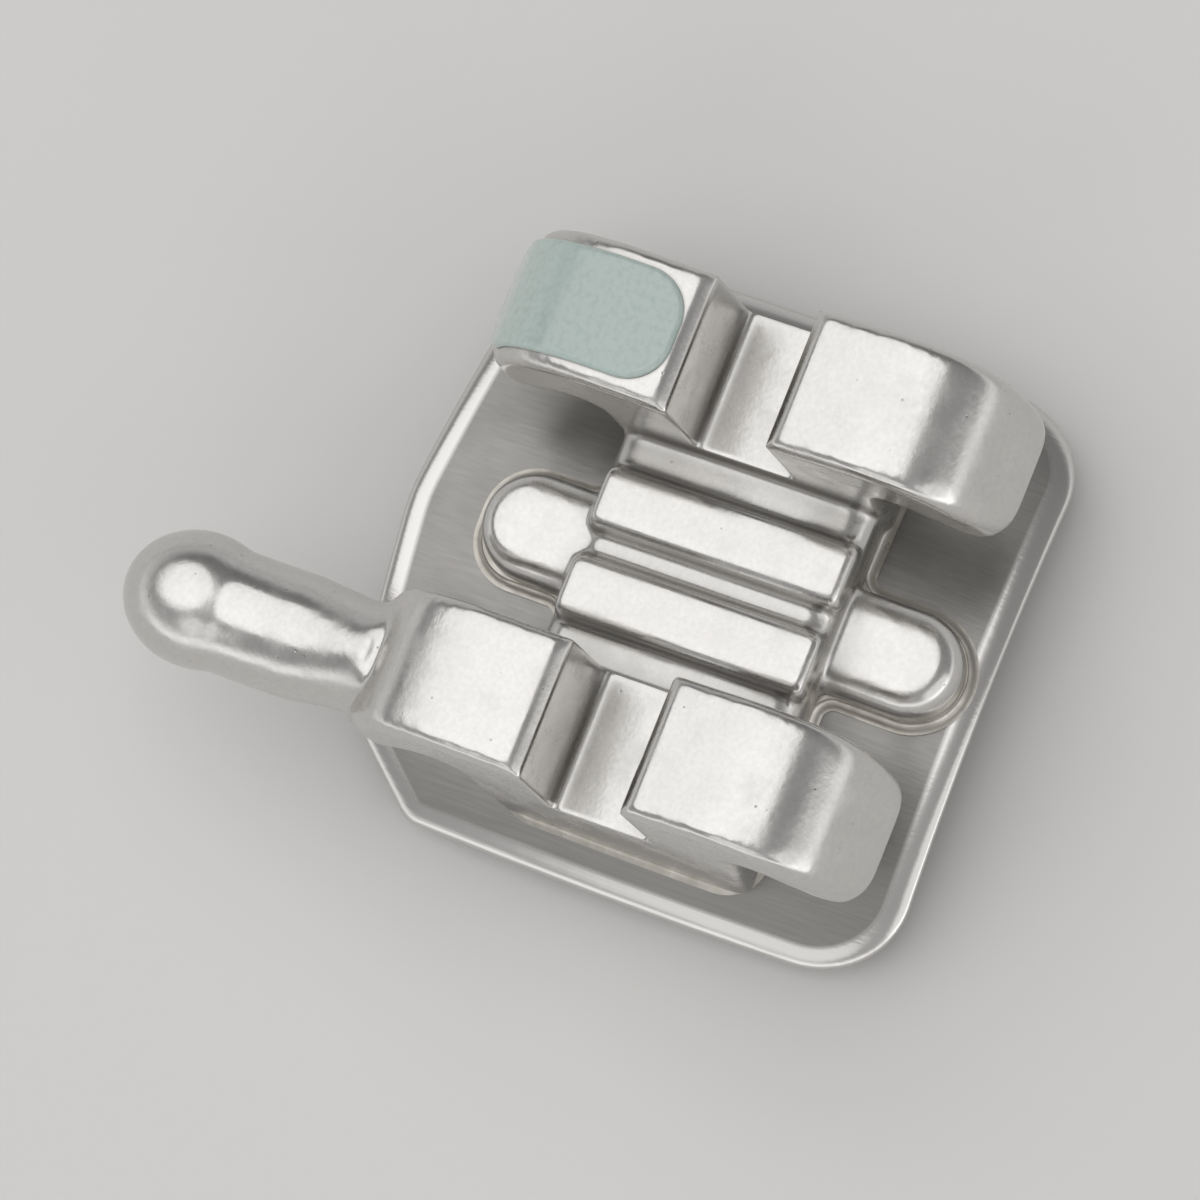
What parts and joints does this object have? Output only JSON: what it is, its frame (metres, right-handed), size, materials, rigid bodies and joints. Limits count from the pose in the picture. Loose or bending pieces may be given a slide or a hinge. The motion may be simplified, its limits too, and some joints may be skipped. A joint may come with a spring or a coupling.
{
  "type": "orthodontic bracket",
  "caption": "Twin tie-wing orthodontic bracket of moulded steel with a ball hook, on a curved bonding base of foil and woven mesh.",
  "frame": {"origin": "middle of the bounding box at the level of the lowest mesh wires, which is the bench that the bracket stands on", "axes": "+Z away from the tooth, +Y towards the gum, the way the hook points, and X along the archwire slot"},
  "size_m": [0.0032, 0.0042, 0.002],
  "materials": {
    "moulded_steel": "tumbled",
    "steel_foil": "rolled",
    "steel_wire": "drawn and sintered",
    "silver_braze": "as flowed",
    "green_enamel": "glossy"
  },
  "bodies": {
    "root": {"bracket_body": "moulded_steel", "braze_seam": "silver_braze", "base_foil": "steel_foil", "base_mesh": "steel_wire", "id_mark": "green_enamel"}
  },
  "joints": []
}
